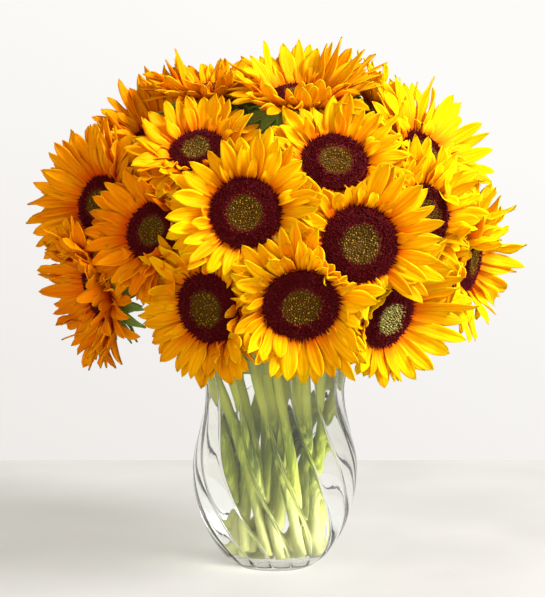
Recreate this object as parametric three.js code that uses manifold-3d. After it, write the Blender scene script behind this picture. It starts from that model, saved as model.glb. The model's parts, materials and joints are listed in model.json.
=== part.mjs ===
// A bunch of cut sunflowers standing in a ribbed glass vase with water.
// Millimetres, +Z up. The origin is the middle of the vase's flat underside, and the bunch shows
// its front to -Y, with +X to the right.

import * as THREE from 'three';
import { mergeVertices } from 'three/addons/utils/BufferGeometryUtils.js';
import Module from 'manifold-3d';

// ---- Driving dimensions ----

const GAP = 0.3; // clearance between pieces that touch
const BLADE_GAP = 0.6; // clearance round petals and bracts
const TIP_MARGIN = 6; // how many times as much lies past a tip, where a blade is thin
const TOUCH_VOLUME = 1e-4; // blades that share a corner of their roots only touch

const VASE_HEIGHT = 195;
const FOOT_RADIUS = 33;
const BELLY_RADIUS = 69.8;
const BELLY_HEIGHT = 84;
const NECK_RADIUS = 58.6;
const NECK_HEIGHT = 150;
const LIP_RADIUS = 67;
const WALL = 3; // glass thickness
const FLOOR = 9; // glass thickness under the water
const RIBS = 16;
const RIB_DEPTH = 0.9; // each way from the mean wall
const RIB_TWIST = 57; // degrees from the lip down to the foot
const RIB_TWIST_POWER = 1.5; // the twist grows towards the foot
const RIB_FADE = 16; // height over which the ribs die out at the foot and the lip

const WATER_LEVEL = 172; // near the lip, behind the lowest petals

const STEM_RADIUS = 4.6;
const STEM_SIDES = 6;
const BUNCH_NECK_RADIUS = 36; // where the seven outer groups of stems pass the neck
const BUNCH_FOOT_RADIUS = 27; // where they stand on the floor of the vase
const GROUP_NECK_SPREAD = 9; // the three stems of a group, from its middle
const GROUP_FOOT_SPREAD = 4.2; // closer than a stem is thick, so the three hold together
const STEM_SPIRAL = 60; // degrees that the stems turn from the neck down to the floor
const STEM_BOW = 0.36; // pull of a stem's two ends on its bow, as a share of the bow's span
const STEM_RISE = 80; // least pull at the neck, which lifts the bow over the lip
const BOW_SHARES = [0, 0.2, 0.42, 0.7, 1]; // the places along the bow where the stem bends

const CALYX_DEPTH = 13; // from the head's plane back to the tip of the cup
const CALYX_SIDES = 8;
const PAD_THICKNESS = 4; // the yellow pad that the petals grow from
const PAD_OVERHANG = 1.5; // pad beyond the disc
const DISC_RIM = 3.4; // height of the disc's edge
const DISC_CROWN = 6; // height of its middle ring
const DISC_SIDES = 12; // also the petals in each of the two rows

const PETAL_LENGTH = { front: 35, back: 40 };
const PETAL_WIDTH = 11;
const PETAL_LIFT = { front: 34, back: 15 }; // degrees from the head's plane
const LOWEST_PETAL = 3; // least lift, which keeps a petal off its own cup
const PETAL_KEEL = 1.2; // thickness at the middle line
const PETAL_WIDEST = 0.45; // share of the length where the blade is widest
const BRACT_LENGTH = 23;
const BRACT_WIDTH = 13;
const BRACT_LIFT = -24;
const LOWEST_BRACT = -60;
const BRACT_KEEL = 1.4;

// The heads, from the vase's middle: place of the disc, turn of its face from the front towards +X,
// tilt of its face above level, and radius of the disc. The petals of a head that is still a little
// closed stand that many degrees steeper. Each group shares one clump of stems: first the stem nearest
// the vase's axis, then the one on its left, the one on its right and the outer one.
const STEM_GROUPS = [
  [
    { at: [21, -38, 400], turn: 0, tilt: 70, disc: 25, closed: 18 },
    { at: [-54, 10, 405], turn: -20, tilt: 80, disc: 23 },
    { at: [22, 62, 392], turn: 172, tilt: 62, disc: 27 },
  ],
  [
    { at: [-23, -135, 309], turn: -8, tilt: 5, disc: 27.5 },
    { at: [-52, -117, 233], turn: -33, tilt: -8, disc: 28 },
    { at: [20, -140, 238], turn: 4, tilt: -22, disc: 29.5 },
  ],
  [
    { at: [48, -95, 347], turn: 8, tilt: 35, disc: 26 },
    { at: [66, -130, 284], turn: 12, tilt: 3, disc: 30 },
    { at: [90, -98, 224], turn: 42, tilt: -18, disc: 25.5 },
  ],
  [
    { at: [124, -40, 352], turn: 50, tilt: 35, disc: 23 },
    { at: [121, -77, 304], turn: 40, tilt: 10, disc: 25 },
    { at: [162, -30, 265], turn: 66, tilt: -8, disc: 24.5 },
  ],
  [
    { at: [96, 20, 380], turn: 95, tilt: 38, disc: 23 },
    { at: [147, 44, 312], turn: 104, tilt: 12, disc: 26 },
    { at: [52, 108, 335], turn: 156, tilt: 25, disc: 27 },
    { at: [108, 92, 246], turn: 130, tilt: -6, disc: 26.5 },
  ],
  [
    { at: [-52, 98, 340], turn: 206, tilt: 28, disc: 27.5 },
    { at: [28, 132, 258], turn: 170, tilt: -2, disc: 28 },
    { at: [-52, 125, 243], turn: 204, tilt: -10, disc: 27 },
  ],
  [
    { at: [-94, -4, 370], turn: -28, tilt: 62, disc: 23, closed: 16 },
    { at: [-146, 36, 284], turn: 258, tilt: 0, disc: 26.5 },
    { at: [-144, -48, 312], turn: -42, tilt: 12, disc: 23 },
  ],
  [
    { at: [-63, -80, 356], turn: -15, tilt: 45, disc: 22 },
    { at: [-146, -54, 241], turn: -64, tilt: -15, disc: 24, closed: 10 },
    { at: [-97, -95, 292], turn: -30, tilt: 15, disc: 24 },
  ],
];

const OUTER_GROUPS = STEM_GROUPS.length - 1;
const FIRST_GROUP_TURN = -5; // degrees from the front
const STEM_TURNS = { 3: [180, -60, 60], 4: [180, -75, 75, 0] }; // round the middle of an outer group
const MIDDLE_STEM_TURNS = [28, -100, 165]; // round the vase's axis

// ---- Small helpers ----

const radians = THREE.MathUtils.degToRad;

/** A level direction in the plane z = 0: 0 points to -Y and 90 to +X. */
function levelDirection(degrees) {
  return new THREE.Vector3(Math.sin(radians(degrees)), -Math.cos(radians(degrees)), 0);
}

/** A repeatable number from -1 to 1 for the k-th choice about the i-th thing. */
function wobble(i, k) {
  const wave = Math.sin(i * 12.9898 + k * 78.233) * 43758.5453;
  return 2 * (wave - Math.floor(wave)) - 1;
}

/** Moves each vertex of a geometry by a rule. */
function reshape(geometry, rule) {
  const place = geometry.attributes.position;
  const point = new THREE.Vector3();
  for (let i = 0; i < place.count; i += 1) {
    rule(point.fromBufferAttribute(place, i));
    place.setXYZ(i, point.x, point.y, point.z);
  }
  return geometry;
}

/** The shared points and the triangles of a closed geometry. */
function toMesh(geometry) {
  geometry.deleteAttribute('normal');
  geometry.deleteAttribute('uv');
  const merged = mergeVertices(geometry, 1e-4);
  const place = merged.attributes.position;
  const points = [];
  for (let i = 0; i < place.count; i += 1) {
    points.push(new THREE.Vector3().fromBufferAttribute(place, i));
  }
  const faces = [];
  for (let i = 0; i < merged.index.count; i += 3) {
    const face = [0, 1, 2].map((corner) => merged.index.getX(i + corner));
    if (new Set(face).size === 3) faces.push(face);
  }
  return { points, faces };
}

function toGeometry({ points, faces }) {
  const geometry = new THREE.BufferGeometry().setFromPoints(points);
  geometry.setIndex(faces.flat());
  geometry.computeVertexNormals();
  return geometry;
}

/** A lathe about +Z; its profile is a list of [radius, height] that starts and ends on the axis. */
function turned(profile, sides) {
  const outline = profile.map(([radius, height]) => new THREE.Vector2(radius, height));
  return new THREE.LatheGeometry(outline, sides).rotateX(Math.PI / 2);
}

// ---- Joining and cutting ----

const wasm = await Module();
wasm.setup();

function toSolid({ points, faces }) {
  return new wasm.Manifold(new wasm.Mesh({
    numProp: 3,
    vertProperties: new Float32Array(points.flatMap((point) => point.toArray())),
    triVerts: new Uint32Array(faces.flat()),
  }));
}

function solidGeometry(solid) {
  const { vertProperties, triVerts, numProp } = solid.getMesh();
  const geometry = new THREE.BufferGeometry();
  const place = new Float32Array((vertProperties.length / numProp) * 3);
  for (let i = 0; i < place.length / 3; i += 1) {
    place.set(vertProperties.subarray(i * numProp, i * numProp + 3), i * 3);
  }
  geometry.setAttribute('position', new THREE.BufferAttribute(place, 3));
  geometry.setIndex(Array.from(triVerts));
  geometry.computeVertexNormals();
  return geometry;
}

function joined(solids) {
  return solids.reduce((whole, solid) => whole.add(solid));
}

/** The space that is taken: each solid with a margin round it, its box, and the head it is the base of. */
const taken = [];

function take(mesh, baseOf = null) {
  const box = new THREE.Box3().setFromPoints(mesh.points);
  taken.push({ box, solid: toSolid(mesh), baseOf });
}

/** Whether a mesh stays clear of a list of solids. */
function isClear(mesh, others) {
  const box = new THREE.Box3().setFromPoints(mesh.points);
  const near = others.filter((other) => other.box.intersectsBox(box));
  if (near.length === 0) return true;
  const solid = toSolid(mesh);
  const clear = near.every((other) => {
    const shared = solid.intersect(other.solid);
    const empty = shared.volume() < TOUCH_VOLUME;
    shared.delete();
    return empty;
  });
  solid.delete();
  return clear;
}

// ---- Blades: petals and bracts ----

/** The points of a blade over a root face, in the head's own frame with +Z out of its face. */
function bladeShape(root, blade, margin) {
  const out = levelDirection(blade.angle);
  const across = levelDirection(blade.angle + 90);
  const heading = (lift) => out.clone().multiplyScalar(Math.cos(radians(lift)))
    .setZ(Math.sin(radians(lift)));
  const foot = root.points[0].clone().add(root.points[1]).add(root.points[2]).divideScalar(3);
  const along = heading(blade.lift);
  const middle = foot.clone().addScaledVector(along, blade.length * PETAL_WIDEST);
  const onward = heading(blade.lift + blade.curl);
  const toTip = blade.length * (1 - PETAL_WIDEST) + margin * TIP_MARGIN;
  const tip = middle.clone().addScaledVector(onward, toTip);
  const face = new THREE.Vector3().crossVectors(along, across); // towards the blade's upper side
  const half = blade.width / 2 + margin;
  const keelSide = blade.keelUp ? 1 : -1;
  const ring = root.points.map((corner, i) => {
    if (i === root.keel) {
      return middle.clone().addScaledVector(face, keelSide * (blade.keel + margin));
    }
    const side = Math.sign(corner.clone().sub(foot).dot(across));
    return middle.clone().addScaledVector(across, side * half)
      .addScaledVector(face, -keelSide * margin);
  });
  return { ring, tip };
}

/** A blade alone, as a closed mesh in the vase's frame, with its root spread by a margin. */
function loneBlade(root, shape, frame, margin) {
  const centre = new THREE.Vector3();
  root.points.forEach((corner) => centre.addScaledVector(corner, 1 / 3));
  const corners = root.points.map((corner) => {
    const outwards = corner.clone().sub(centre).normalize();
    return corner.clone().addScaledVector(outwards, margin);
  });
  const points = [...corners, ...shape.ring, shape.tip].map((p) => p.clone().applyMatrix4(frame));
  const faces = [[0, 2, 1]];
  for (let i = 0; i < 3; i += 1) {
    const j = (i + 1) % 3;
    faces.push([i, j, j + 3], [i, j + 3, i + 3], [i + 3, j + 3, 6]);
  }
  return { points, faces };
}

/** Replaces a face of a mesh by the blade that grows from it. */
function raiseBlade(mesh, root, shape) {
  const ring = shape.ring.map((point) => mesh.points.push(point) - 1);
  const tip = mesh.points.push(shape.tip) - 1;
  mesh.faces.splice(mesh.faces.indexOf(root.face), 1);
  for (let i = 0; i < 3; i += 1) {
    const j = (i + 1) % 3;
    const [a, b] = [root.face[i], root.face[j]];
    mesh.faces.push([a, b, ring[j]], [a, ring[j], ring[i]], [ring[i], ring[j], tip]);
  }
}

/** A turned body whose upper rim ring is turned half a step, so that its rim is a zigzag of faces. */
function rimmedBody(profile, sides) {
  const [rimRadius, rimHeight] = profile.at(-2);
  const halfStep = Math.PI / sides;
  const upright = new THREE.Vector3(0, 0, 1);
  return toMesh(reshape(turned(profile, sides), (point) => {
    const onRim = Math.abs(point.z - rimHeight) < 1e-3 && Math.hypot(point.x, point.y) > rimRadius / 2;
    if (onRim) point.applyAxisAngle(upright, halfStep);
  }));
}

/** The rim faces of such a body: the corners, which corner carries the keel, and the angle. */
function rimRoots(mesh, profile) {
  const [lowerHeight, upperHeight] = [profile.at(-3)[1], profile.at(-2)[1]];
  const near = (a, b) => Math.abs(a - b) < 1e-3;
  const roots = [];
  for (const face of mesh.faces) {
    const points = face.map((corner) => mesh.points[corner]);
    const high = points.filter((p) => near(p.z, upperHeight) && Math.hypot(p.x, p.y) > 1);
    const low = points.filter((p) => near(p.z, lowerHeight) && Math.hypot(p.x, p.y) > 1);
    if (high.length + low.length < 3 || high.length === 3 || low.length === 3) continue;
    const front = high.length === 2;
    const single = front ? low[0] : high[0];
    roots.push({
      face,
      points,
      front,
      keel: points.indexOf(single),
      angle: THREE.MathUtils.radToDeg(Math.atan2(single.x, -single.y)),
    });
  }
  return roots.sort((a, b) => a.angle - b.angle);
}

/** The ways a blade may give way to what is already there, the gentlest first. */
const BENDS = [];
for (const shrink of [1, 0.9, 0.8, 0.7, 0.6, 0.5, 0.4]) {
  for (const rise of [0, 6, -6, 12, -12, 20, 28, 36, 44, 52, 60]) {
    for (const sway of [0, 7, -7, 14, -14]) {
      const cost = (1 - shrink) * 1.3 + Math.abs(rise) / 60 + Math.abs(sway) / 25;
      BENDS.push({ shrink, rise, sway, cost });
    }
  }
}
BENDS.sort((a, b) => a.cost - b.cost);

/** Grows a blade from each root of a head's body, bent clear of all that is taken. */
function growBlades(body, roots, head, bladeFor, bends) {
  const { frame } = head;
  const others = taken.filter((other) => other.baseOf !== head);
  const own = [];
  const grown = [];
  for (const root of roots) {
    const natural = bladeFor(root);
    for (const bend of bends) {
      const blade = {
        ...natural,
        length: natural.length * bend.shrink,
        lift: natural.lift + bend.rise,
        angle: natural.angle + bend.sway,
      };
      if (blade.lift < natural.lowest) continue;
      const shape = bladeShape(root, blade, 0);
      const mesh = loneBlade(root, shape, frame, 0);
      if (!isClear(mesh, others) || !isClear(mesh, own)) continue;
      raiseBlade(body, root, shape);
      own.push({ box: new THREE.Box3().setFromPoints(mesh.points), solid: toSolid(mesh) });
      grown.push(loneBlade(root, bladeShape(root, blade, BLADE_GAP), frame, BLADE_GAP));
      break;
    }
  }
  return grown;
}

// ---- The vase and its water ----

/** Outer radius of the glass at a height, without ribs: an ellipse up to the belly, waves above it. */
function glassRadius(height) {
  const wave = (from, to, fromRadius, toRadius) => {
    const share = (1 - Math.cos((Math.PI * (height - from)) / (to - from))) / 2;
    return THREE.MathUtils.lerp(fromRadius, toRadius, share);
  };
  if (height > NECK_HEIGHT) return wave(NECK_HEIGHT, VASE_HEIGHT, NECK_RADIUS, LIP_RADIUS);
  if (height > BELLY_HEIGHT) return wave(BELLY_HEIGHT, NECK_HEIGHT, BELLY_RADIUS, NECK_RADIUS);
  const bowl = BELLY_HEIGHT / Math.sqrt(1 - (FOOT_RADIUS / BELLY_RADIUS) ** 2);
  return BELLY_RADIUS * Math.sqrt(1 - ((BELLY_HEIGHT - height) / bowl) ** 2);
}

const GLASS_SIDES = RIBS * 2;
const INNER_FLOOR_RADIUS = FOOT_RADIUS + 5;
const OUTSIDE_HEIGHTS = [0, 5, 12, 22, 36, 54, 72, 90, 110, 130, 150, 166, 181, VASE_HEIGHT];
const INSIDE_HEIGHTS = [VASE_HEIGHT, 172, 150, 124, 98, 72, 46, 24, FLOOR + 4];

/** Turns a point of the vase with the ribs and lifts or sinks it onto its rib. */
function ribbed(point, depth) {
  const radius = Math.hypot(point.x, point.y);
  if (radius < 1) return;
  const side = Math.round((Math.atan2(point.y, point.x) / Math.PI) * (GLASS_SIDES / 2));
  const fade = THREE.MathUtils.smoothstep(point.z, FLOOR, FLOOR + RIB_FADE)
    * (1 - THREE.MathUtils.smoothstep(point.z, VASE_HEIGHT - RIB_FADE, VASE_HEIGHT));
  const crest = side % 2 === 0 ? 1 : -1;
  const scale = (radius + depth * crest * fade) / radius;
  point.x *= scale;
  point.y *= scale;
  const twist = RIB_TWIST * (1 - point.z / VASE_HEIGHT) ** RIB_TWIST_POWER;
  point.applyAxisAngle(new THREE.Vector3(0, 0, 1), radians(twist));
}

function makeVase() {
  const outside = OUTSIDE_HEIGHTS.map((height) => [glassRadius(height), height]);
  const inside = INSIDE_HEIGHTS.map((height) => [glassRadius(height) - WALL, height]);
  const profile = [[0, 0], ...outside, ...inside, [INNER_FLOOR_RADIUS, FLOOR], [0, FLOOR]];
  const isOutside = (point) => Math.hypot(point.x, point.y) > glassRadius(point.z) - WALL / 2;
  return toMesh(reshape(turned(profile, GLASS_SIDES), (point) => {
    ribbed(point, isOutside(point) ? RIB_DEPTH : 0);
  }));
}

function makeWater(stems) {
  const level = INSIDE_HEIGHTS.filter((height) => height < WATER_LEVEL).reverse();
  const side = [...level, WATER_LEVEL].map((height) => [glassRadius(height) - WALL - GAP * 2, height]);
  const bottom = FLOOR + GAP;
  const profile = [[0, bottom], [INNER_FLOOR_RADIUS - GAP, bottom], ...side, [0, WATER_LEVEL]];
  const water = toMesh(reshape(turned(profile, GLASS_SIDES), (point) => ribbed(point, 0)));
  return toSolid(water).subtract(joined(stems)).decompose()
    .sort((a, b) => b.volume() - a.volume())[0];
}

// ---- Stems ----

/** Where a stem of a group stands on the floor and passes the neck. */
function stemEnds(group, member) {
  const groupTurn = FIRST_GROUP_TURN + ((group - 1) * 360) / OUTER_GROUPS;
  const isMiddle = group === 0;
  const reach = isMiddle ? 0 : 1;
  const memberTurn = isMiddle
    ? MIDDLE_STEM_TURNS[member]
    : groupTurn + STEM_TURNS[STEM_GROUPS[group].length][member];
  const point = (groupRadius, spread, turn, height) => levelDirection(groupTurn + turn)
    .multiplyScalar(groupRadius * reach)
    .addScaledVector(levelDirection(memberTurn + turn), spread)
    .setZ(height);
  return {
    foot: point(BUNCH_FOOT_RADIUS, GROUP_FOOT_SPREAD, STEM_SPIRAL, FLOOR + GAP),
    neck: point(BUNCH_NECK_RADIUS, GROUP_NECK_SPREAD, 0, NECK_HEIGHT),
  };
}

/** The line of a stem: straight in the vase, then one bow to the back of its head. */
function stemLine({ foot, neck }, head) {
  const end = head.place.clone().addScaledVector(head.facing, -CALYX_DEPTH + 3);
  const pull = neck.distanceTo(end) * STEM_BOW;
  const start = neck.clone().sub(foot).normalize();
  const bow = new THREE.CubicBezierCurve3(
    neck,
    neck.clone().addScaledVector(start, Math.max(pull, STEM_RISE)),
    end.clone().addScaledVector(head.facing, -pull),
    end,
  );
  return [foot, ...BOW_SHARES.map((share) => bow.getPoint(share))];
}

/** A round rod bent along a line of points, cut level at its first one. */
function bentRod(line, radius) {
  const steps = line.length - 1;
  const rod = new THREE.CylinderGeometry(radius, radius, steps, STEM_SIDES, steps);
  const frames = [];
  let side = new THREE.Vector3(1, 0, 0);
  line.forEach((point, i) => {
    const before = line[i - 1];
    const after = line[Math.min(i + 1, steps)];
    const ahead = i === 0 ? new THREE.Vector3(0, 0, 1) : after.clone().sub(before).normalize();
    side = side.clone().addScaledVector(ahead, -side.dot(ahead)).normalize();
    frames.push({ point, side, other: new THREE.Vector3().crossVectors(side, ahead) });
  });
  return toMesh(reshape(rod, (point) => {
    const frame = frames[Math.round(point.y + steps / 2)];
    const { x, z } = point;
    point.copy(frame.point).addScaledVector(frame.side, x).addScaledVector(frame.other, z);
  }));
}

// ---- Heads ----

const heads = STEM_GROUPS.flatMap((groupHeads, group) => groupHeads.map((head, member) => {
  const level = levelDirection(head.turn);
  const facing = level.clone().multiplyScalar(Math.cos(radians(head.tilt)))
    .setZ(Math.sin(radians(head.tilt)));
  const right = levelDirection(head.turn + 90);
  const place = new THREE.Vector3(...head.at);
  const frame = new THREE.Matrix4()
    .makeBasis(right, new THREE.Vector3().crossVectors(facing, right), facing)
    .setPosition(place);
  return { ...head, group, member, facing, place, frame };
}));
heads.forEach((head, i) => {
  head.number = i + 1;
});

/** The front heads choose their petals' places first, then the rest towards the back. */
const byDepth = [...heads].sort((a, b) => a.place.y - b.place.y);

function calyxProfile(disc, margin) {
  const rim = disc + PAD_OVERHANG + margin;
  const front = -PAD_THICKNESS - GAP + margin;
  return [
    [0, -CALYX_DEPTH - margin],
    [disc * 0.66 + margin, -CALYX_DEPTH + 4 - margin],
    [rim - 0.6, -PAD_THICKNESS - 3.5 - margin],
    [rim, front],
    [0, front],
  ];
}

function padProfile(disc, margin) {
  const rim = disc + PAD_OVERHANG + margin;
  const back = -PAD_THICKNESS - margin;
  return [[0, back], [rim - 0.5, back], [rim, margin], [0, margin]];
}

function discProfile(disc, margin) {
  return [
    [0, GAP - margin],
    [disc + margin, GAP - margin],
    [disc + margin, DISC_RIM + margin],
    [disc * 0.56, DISC_CROWN + margin],
    [0, DISC_RIM + 1.4 + margin],
  ];
}

function placed(mesh, frame) {
  return { points: mesh.points.map((point) => point.clone().applyMatrix4(frame)), faces: mesh.faces };
}

function makeDisc(head) {
  const ridges = 0.7; // low relief in place of the florets
  return toMesh(reshape(turned(discProfile(head.disc, 0), DISC_SIDES), (point) => {
    if (Math.abs(point.z - DISC_CROWN) > 1e-3) return;
    const side = Math.round((Math.atan2(point.y, point.x) / Math.PI) * (DISC_SIDES / 2));
    point.z += side % 2 === 0 ? ridges : -ridges;
  }));
}

function petalFor(head) {
  return (root) => {
    const row = root.front ? 'front' : 'back';
    const i = head.number * 100 + Math.round((root.angle + 180) * (DISC_SIDES / 180));
    const size = Math.sqrt(head.disc / 27);
    return {
      angle: root.angle + 3 * wobble(i, 1),
      length: PETAL_LENGTH[row] * size * (1 + 0.1 * wobble(i, 2)),
      width: PETAL_WIDTH * (1 + 0.1 * wobble(i, 3)),
      lift: PETAL_LIFT[row] + (head.closed ?? 0) + 6 * wobble(i, 4),
      curl: -4 + 9 * wobble(i, 5),
      keel: PETAL_KEEL,
      keelUp: !root.front,
      lowest: LOWEST_PETAL,
    };
  };
}

function bractFor(head) {
  return (root) => {
    const i = head.number * 100 + 50 + Math.round((root.angle + 180) * (CALYX_SIDES / 180));
    return {
      angle: root.angle,
      length: BRACT_LENGTH * (1 + 0.15 * wobble(i, 6)),
      width: BRACT_WIDTH,
      lift: BRACT_LIFT + 7 * wobble(i, 7),
      curl: 8 + 8 * wobble(i, 8),
      keel: BRACT_KEEL,
      keelUp: true,
      lowest: LOWEST_BRACT,
    };
  };
}

// ---- Putting it together ----

const bouquet = new THREE.Group();

function addMesh(name, geometry, colour, roughness, parent = bouquet) {
  const material = new THREE.MeshStandardMaterial({ color: colour, roughness, metalness: 0 });
  material.flatShading = true;
  const mesh = new THREE.Mesh(geometry, material);
  mesh.name = name;
  parent.add(mesh);
  return mesh;
}

const twoDigits = (number) => String(number).padStart(2, '0');

const vase = makeVase();
take(vase);
addMesh('vase', toGeometry(vase), 0xdfe8e6, 0.05).material.setValues({ transparent: true, opacity: 0.4 });

// Stems and cups come first, then the discs; the bracts and petals then find their way between them.
const lines = new Map();
for (const head of heads) lines.set(head, stemLine(stemEnds(head.group, head.member), head));

const grownStems = [...lines.values()].map((line) => toSolid(bentRod(line, STEM_RADIUS + GAP)));
addMesh('water', solidGeometry(makeWater(grownStems)), 0xd8e6d8, 0.05)
  .material.setValues({ transparent: true, opacity: 0.4 });

for (const head of heads) {
  take(bentRod(lines.get(head), STEM_RADIUS + GAP));
  take(placed(toMesh(turned(calyxProfile(head.disc, GAP), CALYX_SIDES)), head.frame), head);
  take(placed(toMesh(turned(padProfile(head.disc, GAP), DISC_SIDES)), head.frame), head);
  take(placed(toMesh(turned(discProfile(head.disc, GAP), DISC_SIDES)), head.frame));
}

const greens = new Map();
const roomForBract = BENDS.filter((bend) => bend.rise <= 26);
for (const head of byDepth) {
  const profile = calyxProfile(head.disc, 0);
  const calyx = rimmedBody(profile, CALYX_SIDES);
  const roots = rimRoots(calyx, profile).filter((root) => !root.front);
  growBlades(calyx, roots, head, bractFor(head), roomForBract).forEach((bract) => take(bract));
  const stem = toSolid(bentRod(lines.get(head), STEM_RADIUS));
  greens.set(head, toSolid(placed(calyx, head.frame)).add(stem));
}

STEM_GROUPS.forEach((group, index) => {
  const members = heads.filter((head) => head.group === index);
  const clump = joined(members.map((head) => greens.get(head)));
  addMesh(`stems_${index + 1}`, solidGeometry(clump), 0x6f9a45, 0.7);
});

const petalRings = new Map();
for (const head of byDepth) {
  const profile = padProfile(head.disc, 0);
  const pad = rimmedBody(profile, DISC_SIDES);
  const roots = rimRoots(pad, profile);
  growBlades(pad, roots, head, petalFor(head), BENDS).forEach((petal) => take(petal));
  petalRings.set(head, pad);
}

for (const head of heads) {
  const bloom = new THREE.Group();
  bloom.applyMatrix4(head.frame);
  bouquet.add(bloom);
  addMesh(`petals_${twoDigits(head.number)}`, toGeometry(petalRings.get(head)), 0xffb400, 0.6, bloom);
  addMesh(`disc_${twoDigits(head.number)}`, toGeometry(makeDisc(head)), 0x4a1618, 0.9, bloom);
}

export default bouquet;
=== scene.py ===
"""A bunch of 25 cut sunflowers in a spiral-ribbed glass vase with water.

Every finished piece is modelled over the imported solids: petals along the solid petals, florets on the
solid discs, green stems, cups and bracts, the ribbed glass and the water. Lengths are metres, +Z is up,
and the bunch shows its front to -Y.
"""

import json
import math
import random

import bmesh
import bpy
import numpy as np
from bpy.props import FloatProperty, FloatVectorProperty, IntProperty, PointerProperty
from mathutils import Matrix, Vector

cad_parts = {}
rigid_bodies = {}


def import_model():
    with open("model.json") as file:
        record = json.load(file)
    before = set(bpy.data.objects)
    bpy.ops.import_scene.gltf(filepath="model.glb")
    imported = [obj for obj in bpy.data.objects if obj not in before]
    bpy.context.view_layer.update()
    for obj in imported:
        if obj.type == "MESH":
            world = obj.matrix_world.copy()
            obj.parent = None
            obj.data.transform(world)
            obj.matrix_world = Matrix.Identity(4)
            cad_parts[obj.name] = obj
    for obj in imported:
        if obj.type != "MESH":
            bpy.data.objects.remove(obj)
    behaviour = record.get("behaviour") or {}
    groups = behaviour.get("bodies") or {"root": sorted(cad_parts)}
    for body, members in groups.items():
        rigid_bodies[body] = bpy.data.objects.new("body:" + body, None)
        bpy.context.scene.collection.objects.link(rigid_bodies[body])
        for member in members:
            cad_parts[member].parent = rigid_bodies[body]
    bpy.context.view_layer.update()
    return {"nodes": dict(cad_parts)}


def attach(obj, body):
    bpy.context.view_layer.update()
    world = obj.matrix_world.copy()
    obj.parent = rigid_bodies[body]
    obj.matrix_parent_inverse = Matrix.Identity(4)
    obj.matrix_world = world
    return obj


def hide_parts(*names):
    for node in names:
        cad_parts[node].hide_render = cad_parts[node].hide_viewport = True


bl_info = {
    "name": "Sunflowers in a Glass Vase",
    "version": (1, 0, 0),
    "blender": (4, 5, 0),
    "location": "3D View > Sidebar > Sunflowers",
    "description": "Models a bunch of cut sunflowers in a ribbed glass vase with water",
    "category": "Object",
}

for leftover in list(bpy.data.objects):
    bpy.data.objects.remove(leftover)
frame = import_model()

MM = 0.001
HEADS = sum(name.startswith("disc_") for name in frame["nodes"])
# How many heads the stems of each node carry; heads are numbered through the groups in this order.
STEMS_IN_NODE = (3, 3, 3, 3, 4, 3, 3, 3)
PAD_BACK = 4 * MM  # the pad that the petals grow from reaches this far behind the head's plane
PAD_RIM = 1.8 * MM  # and this far outside the disc
SLACK = 0.3 * MM  # how far off these a point of a solid may lie
CUP_BACK = 13 * MM  # how far the green cup reaches behind the head's plane
DISC_BACK = 0.3 * MM  # and how far behind the back of the disc that plane lies


# ---- Sizes and colours that a user would change ----


def length(name, description, default):
    return FloatProperty(name=name, description=description, default=default, min=0.0, unit="LENGTH")


def angle(name, description, degrees):
    return FloatProperty(name=name, description=description, default=math.radians(degrees), subtype="ANGLE")


def share(name, description, default):
    return FloatProperty(name=name, description=description, default=default, subtype="FACTOR")


def power(name, description, default):
    return FloatProperty(name=name, description=description, default=default, min=0.0, unit="POWER")


def colour(name, description, default):
    return FloatVectorProperty(
        name=name, description=description, default=default, size=3, min=0.0, max=1.0, subtype="COLOR"
    )


class PetalSettings(bpy.types.PropertyGroup):
    """Sizes and colours of the ray petals."""

    width: length("Width", "Width of a petal where it is widest", 0.0117)
    reach: share("Reach", "Length of the petals beside that of the solid ones", 0.98)
    thickness: share("Thickness", "Thickness as a share of the width", 0.036)
    groove: share("Groove depth", "Depth of the two lengthwise grooves as a share of the width", 0.075)
    cup: share("Cup", "How far the long edges rise, as a share of the width", 0.2)
    curl: share("Tip curl", "How far tips roll forward or back, as a share of the length", 0.21)
    ruffle: share("Ruffle", "Height of the waves in the long edges, as a share of the width", 0.15)
    twist: angle("Twist", "Most turn of a blade about its own line", 37)
    inner: IntProperty(name="Inner petals", description="Short curly petals by the disc", default=11, min=0)
    inner_length: length("Inner length", "Length of the short curly petals", 0.024)
    glow: share("Glow", "Share of the light that comes through a petal", 0.36)
    root: colour("Root", "Colour beside the disc", (0.85, 0.155, 0.0))
    body: colour("Body", "Colour of the middle of the blade", (1.0, 0.66, 0.0))
    # In the grooves this colour is painted shade. In the fibres and patches it is the petal's own uneven
    # tone.
    line: colour("Lines", "Colour of the grooves and darker fibres", (0.95, 0.31, 0.0))
    tip: colour("Tip", "Colour towards the tip", (0.98, 0.735, 0.0))
    edge: colour("Edge", "Colour of the thin long edges", (0.98, 0.80, 0.008))
    # Painted shade: this colour is multiplied into the petals of the heads that lie away from the key light.
    deep: colour("Deep", "Colour that darkens the deeper heads", (0.94, 0.50, 0.5))


class DiscSettings(bpy.types.PropertyGroup):
    """Sizes and colours of the discs of florets."""

    florets: IntProperty(name="Florets", description="Florets on each disc", default=760, min=50)
    spread: share("Eye", "Radius of the green eye as a share of the disc", 0.50)
    maroon: colour("Maroon", "Colour of the open florets", (0.075, 0.0025, 0.004))
    speck: colour("Speck", "Colour of the specks on the open florets", (0.24, 0.03, 0.03))
    eye: colour("Eye colour", "Colour of the buds in the middle", (0.12, 0.048, 0.002))
    eye_light: colour("Eye specks", "Colour of the pale tips of the buds", (0.46, 0.27, 0.02))
    gaps: colour("Gaps", "Colour between the buds", (0.055, 0.026, 0.002))
    fresh: colour("Fresh eye", "Colour of the buds' tips in a younger head", (0.78, 0.82, 0.26))


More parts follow.
